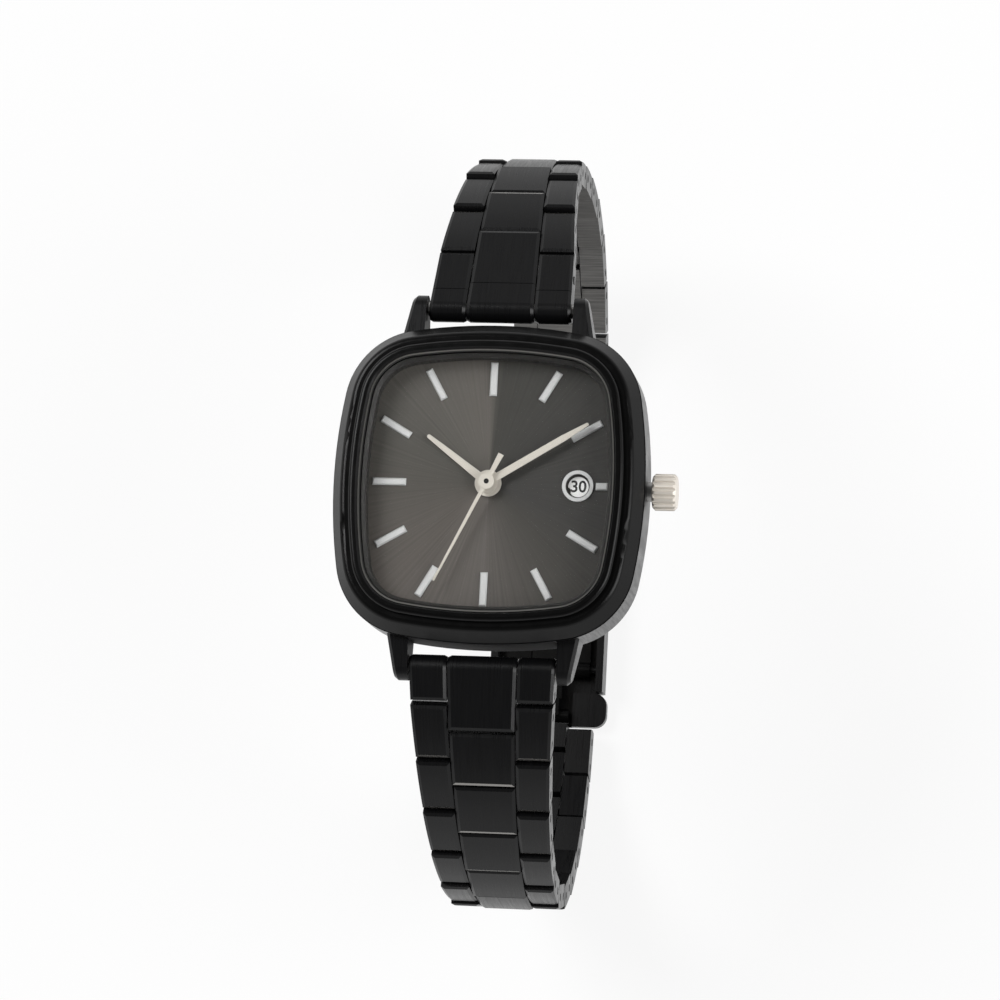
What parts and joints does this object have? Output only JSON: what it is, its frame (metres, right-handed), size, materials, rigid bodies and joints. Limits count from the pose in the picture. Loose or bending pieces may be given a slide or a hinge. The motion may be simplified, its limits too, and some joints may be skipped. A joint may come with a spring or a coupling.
{
  "type": "square wristwatch",
  "caption": "Square cushion-shaped quartz wristwatch with a sunray dial, date window, crown, tapered three-row steel bracelet and folding clasp.",
  "frame": {"origin": "on the resting plane under the dial's centre; the watch stands dial up on the flat underside of its closed clasp", "axes": "+Z is the dial's normal, +Y runs to 12 o'clock along the bracelet, +X to 3 o'clock and the crown"},
  "size_m": [0.0328, 0.0756, 0.0524],
  "materials": {
    "case_black_steel": "black ion plating, satin with polished side",
    "bezel_black_steel": "black ion plating, polished",
    "mineral_glass": "clear, polished",
    "seal_rubber": "matt",
    "back_steel": "circular brushed",
    "pin_steel": "turned",
    "crown_steel": "polished silver",
    "dial_sunray": "sunray brushed under lacquer",
    "applied_silver": "polished silver",
    "hand_silver": "polished warm silver",
    "movement_plastic": "moulded",
    "movement_brass": "gilt",
    "circuit_laminate": "lacquered",
    "stator_iron": "stamped",
    "coil_copper": "enamelled wire",
    "battery_steel": "pressed, bright",
    "rotor_magnet": "ground",
    "date_plastic": "moulded",
    "date_white": "white printed",
    "band_black_steel": "black ion plating, satin with polished edges",
    "clasp_black_steel": "black ion plating, satin",
    "blade_black_steel": "black ion plating, polished"
  },
  "bodies": {
    "case": {"case_body": "case_black_steel", "bezel": "bezel_black_steel", "crystal": "mineral_glass", "gaskets": "seal_rubber", "case_back": "back_steel", "lug_spring_bars": "pin_steel", "crown_tube": "pin_steel", "dial": "dial_sunray", "dial_appliques": "applied_silver", "movement_holder": "movement_plastic", "main_plate": "movement_brass", "train_bridge": "movement_brass", "circuit_board": "circuit_laminate", "movement_screws": "pin_steel", "stator": "stator_iron", "coil": "coil_copper", "battery": "battery_steel"},
    "second_hand": {"second_hand": "hand_silver", "seconds_wheel": "movement_brass"},
    "minute_hand": {"minute_hand": "hand_silver", "centre_wheel": "movement_brass"},
    "hour_hand": {"hour_hand": "hand_silver", "hour_wheel": "movement_brass"},
    "third_wheel": {"third_wheel": "movement_brass"},
    "fifth_wheel": {"fifth_wheel": "movement_brass"},
    "rotor": {"rotor": "rotor_magnet"},
    "minute_wheel": {"minute_wheel": "movement_brass"},
    "date_wheel": {"date_wheel": "date_plastic"},
    "date_disc": {"date_disc": "date_white"},
    "sliding_pinion": {"sliding_pinion": "pin_steel"},
    "crown": {"crown": "crown_steel", "stem": "pin_steel"},
    "setting_lever": {"setting_lever": "pin_steel"},
    "end_link_12": {"end_link_12": "band_black_steel"},
    "link_12_1": {"link_12_1": "band_black_steel"},
    "link_12_2": {"link_12_2": "band_black_steel"},
    "link_12_3": {"link_12_3": "band_black_steel"},
    "link_12_4": {"link_12_4": "band_black_steel"},
    "link_12_5": {"link_12_5": "band_black_steel"},
    "link_12_6": {"link_12_6": "band_black_steel"},
    "link_12_7": {"link_12_7": "band_black_steel"},
    "link_12_8": {"link_12_8": "band_black_steel"},
    "link_12_9": {"link_12_9": "band_black_steel"},
    "link_12_10": {"link_12_10": "band_black_steel"},
    "end_link_6": {"end_link_6": "band_black_steel"},
    "link_6_1": {"link_6_1": "band_black_steel"},
    "link_6_2": {"link_6_2": "band_black_steel"},
    "link_6_3": {"link_6_3": "band_black_steel"},
    "link_6_4": {"link_6_4": "band_black_steel"},
    "link_6_5": {"link_6_5": "band_black_steel"},
    "link_6_6": {"link_6_6": "band_black_steel"},
    "link_6_7": {"link_6_7": "band_black_steel"},
    "link_6_8": {"link_6_8": "band_black_steel"},
    "link_6_9": {"link_6_9": "band_black_steel"},
    "link_6_10": {"link_6_10": "band_black_steel"},
    "link_6_11": {"link_6_11": "band_black_steel"},
    "clasp_cover": {"clasp_cover": "clasp_black_steel", "clasp_spring_bar": "pin_steel"},
    "clasp_middle_blade": {"clasp_middle_blade": "blade_black_steel"},
    "clasp_end_blade": {"clasp_end_blade": "blade_black_steel"}
  },
  "joints": [
    {"name": "second_hand_turn", "type": "hinge", "parent": "case", "child": "second_hand", "pos_m": [0, 0, 0.05086], "axis": [0, 0, -1], "continuous": true},
    {"name": "minute_hand_turn", "type": "hinge", "parent": "case", "child": "minute_hand", "pos_m": [0, 0, 0.05031], "axis": [0, 0, -1], "continuous": true},
    {"name": "hour_hand_turn", "type": "hinge", "parent": "case", "child": "hour_hand", "pos_m": [0, 0, 0.04981], "axis": [0, 0, -1], "continuous": true},
    {"name": "third_wheel_turn", "type": "hinge", "parent": "case", "child": "third_wheel", "pos_m": [-0.00304, -0.00111, 0.04681], "axis": [0, 0, -1], "continuous": true},
    {"name": "fifth_wheel_turn", "type": "hinge", "parent": "case", "child": "fifth_wheel", "pos_m": [0.00144, 0.00249, 0.04706], "axis": [0, 0, -1], "continuous": true},
    {"name": "rotor_turn", "type": "hinge", "parent": "case", "child": "rotor", "pos_m": [0.00276, 0.00478, 0.04706], "axis": [0, 0, -1], "continuous": true},
    {"name": "minute_wheel_turn", "type": "hinge", "parent": "case", "child": "minute_wheel", "pos_m": [0.00065, 0.00241, 0.04851], "axis": [0, 0, -1], "continuous": true},
    {"name": "date_wheel_turn", "type": "hinge", "parent": "case", "child": "date_wheel", "pos_m": [-0.0015, -0.00413, 0.04865], "axis": [0, 0, -1], "continuous": true},
    {"name": "date_disc_turn", "type": "hinge", "parent": "case", "child": "date_disc", "pos_m": [0, 0, 0.04851], "axis": [0, 0, -1], "continuous": true},
    {"name": "crown_turn", "type": "hinge", "parent": "case", "child": "sliding_pinion", "pos_m": [0.0155, 0, 0.04751], "axis": [1, 0, 0], "continuous": true},
    {"name": "crown_pull", "type": "slide", "parent": "sliding_pinion", "child": "crown", "axis": [1, 0, 0], "range_m": [0, 0.001]},
    {"name": "setting_lever_turn", "type": "hinge", "parent": "case", "child": "setting_lever", "pos_m": [0.0081, -0.00307, 0.04751], "axis": [0, 0, -1], "range_deg": [0, 21.36]},
    {"name": "strand_12_lug_hinge", "type": "hinge", "parent": "case", "child": "end_link_12", "pos_m": [0, 0.01745, 0.04726], "axis": [1, 0, 0], "range_deg": [0, 25.6]},
    {"name": "link_12_1_hinge", "type": "hinge", "parent": "end_link_12", "child": "link_12_1", "pos_m": [0, 0.0243, 0.04397], "axis": [1, 0, 0], "range_deg": [0, 6.9]},
    {"name": "link_12_2_hinge", "type": "hinge", "parent": "link_12_1", "child": "link_12_2", "pos_m": [0, 0.02903, 0.04096], "axis": [1, 0, 0], "range_deg": [0, 15]},
    {"name": "link_12_3_hinge", "type": "hinge", "parent": "link_12_2", "child": "link_12_3", "pos_m": [0, 0.03281, 0.03684], "axis": [1, 0, 0], "range_deg": [0, 18.5]},
    {"name": "link_12_4_hinge", "type": "hinge", "parent": "link_12_3", "child": "link_12_4", "pos_m": [0, 0.03509, 0.03172], "axis": [1, 0, 0], "range_deg": [0, 16]},
    {"name": "link_12_5_hinge", "type": "hinge", "parent": "link_12_4", "child": "link_12_5", "pos_m": [0, 0.03587, 0.02617], "axis": [1, 0, 0], "range_deg": [0, 7.6]},
    {"name": "link_12_6_hinge", "type": "hinge", "parent": "link_12_5", "child": "link_12_6", "pos_m": [0, 0.03591, 0.02057], "axis": [1, 0, 0], "range_deg": [0, 11.1]},
    {"name": "link_12_7_hinge", "type": "hinge", "parent": "link_12_6", "child": "link_12_7", "pos_m": [0, 0.03487, 0.01507], "axis": [1, 0, 0], "range_deg": [0, 17.2]},
    {"name": "link_12_8_hinge", "type": "hinge", "parent": "link_12_7", "child": "link_12_8", "pos_m": [0, 0.03225, 0.01012], "axis": [1, 0, 0], "range_deg": [0, 19.4]},
    {"name": "link_12_9_hinge", "type": "hinge", "parent": "link_12_8", "child": "link_12_9", "pos_m": [0, 0.02813, 0.00632], "axis": [1, 0, 0], "range_deg": [0, 15.9]},
    {"name": "link_12_10_hinge", "type": "hinge", "parent": "link_12_9", "child": "link_12_10", "pos_m": [0, 0.02313, 0.0038], "axis": [1, 0, 0], "range_deg": [0, 10.2]},
    {"name": "strand_6_lug_hinge", "type": "hinge", "parent": "case", "child": "end_link_6", "pos_m": [0, -0.01745, 0.04726], "axis": [-1, 0, 0], "range_deg": [0, 16.4]},
    {"name": "link_6_1_hinge", "type": "hinge", "parent": "end_link_6", "child": "link_6_1", "pos_m": [0, -0.02172, 0.046], "axis": [-1, 0, 0], "range_deg": [0, 14.5]},
    {"name": "link_6_2_hinge", "type": "hinge", "parent": "link_6_1", "child": "link_6_2", "pos_m": [0, -0.02652, 0.04312], "axis": [-1, 0, 0], "range_deg": [0, 10.9]},
    {"name": "link_6_3_hinge", "type": "hinge", "parent": "link_6_2", "child": "link_6_3", "pos_m": [0, -0.0307, 0.03939], "axis": [-1, 0, 0], "range_deg": [0, 12.2]},
    {"name": "link_6_4_hinge", "type": "hinge", "parent": "link_6_3", "child": "link_6_4", "pos_m": [0, -0.03399, 0.03486], "axis": [-1, 0, 0], "range_deg": [0, 12.5]},
    {"name": "link_6_5_hinge", "type": "hinge", "parent": "link_6_4", "child": "link_6_5", "pos_m": [0, -0.03622, 0.02973], "axis": [-1, 0, 0], "range_deg": [0, 14.5]},
    {"name": "link_6_6_hinge", "type": "hinge", "parent": "link_6_5", "child": "link_6_6", "pos_m": [0, -0.0371, 0.0242], "axis": [-1, 0, 0], "range_deg": [0, 15]},
    {"name": "link_6_7_hinge", "type": "hinge", "parent": "link_6_6", "child": "link_6_7", "pos_m": [0, -0.03651, 0.01863], "axis": [-1, 0, 0], "range_deg": [0, 15]},
    {"name": "link_6_8_hinge", "type": "hinge", "parent": "link_6_7", "child": "link_6_8", "pos_m": [0, -0.03451, 0.0134], "axis": [-1, 0, 0], "range_deg": [0, 15]},
    {"name": "link_6_9_hinge", "type": "hinge", "parent": "link_6_8", "child": "link_6_9", "pos_m": [0, -0.03122, 0.00887], "axis": [-1, 0, 0], "range_deg": [0, 14.5]},
    {"name": "link_6_10_hinge", "type": "hinge", "parent": "link_6_9", "child": "link_6_10", "pos_m": [0, -0.02689, 0.00531], "axis": [-1, 0, 0], "range_deg": [0, 14]},
    {"name": "link_6_11_hinge", "type": "hinge", "parent": "link_6_10", "child": "link_6_11", "pos_m": [0, -0.02184, 0.00289], "axis": [-1, 0, 0], "range_deg": [0, 13]},
    {"name": "clasp_cover_hinge", "type": "hinge", "parent": "link_12_10", "child": "clasp_cover", "pos_m": [0, 0.01777, 0.0022], "axis": [1, 0, 0], "range_deg": [0, 17]},
    {"name": "clasp_blade_fold", "type": "hinge", "parent": "clasp_cover", "child": "clasp_middle_blade", "pos_m": [0, -0.01142, 0.0018], "axis": [1, 0, 0], "range_deg": [0, 50]},
    {"name": "clasp_end_blade_fold", "type": "hinge", "parent": "clasp_middle_blade", "child": "clasp_end_blade", "pos_m": [0, 0.00717, 0.0018], "axis": [-1, 0, 0], "range_deg": [0, 100]}
  ],
  "couplings": [
    {"joint": "minute_hand_turn", "follows": "second_hand_turn", "ratio": 0.016667},
    {"joint": "hour_hand_turn", "follows": "second_hand_turn", "ratio": 0.0013889},
    {"joint": "third_wheel_turn", "follows": "second_hand_turn", "ratio": -0.125},
    {"joint": "fifth_wheel_turn", "follows": "second_hand_turn", "ratio": -3},
    {"joint": "rotor_turn", "follows": "second_hand_turn", "ratio": 30},
    {"joint": "minute_wheel_turn", "follows": "second_hand_turn", "ratio": -0.0055556},
    {"joint": "date_wheel_turn", "follows": "second_hand_turn", "ratio": -0.00069444},
    {"joint": "setting_lever_turn", "follows": "crown_pull", "rad_per_m": 372.52},
    {"joint": "clasp_end_blade_fold", "follows": "clasp_blade_fold", "ratio": 2}
  ]
}
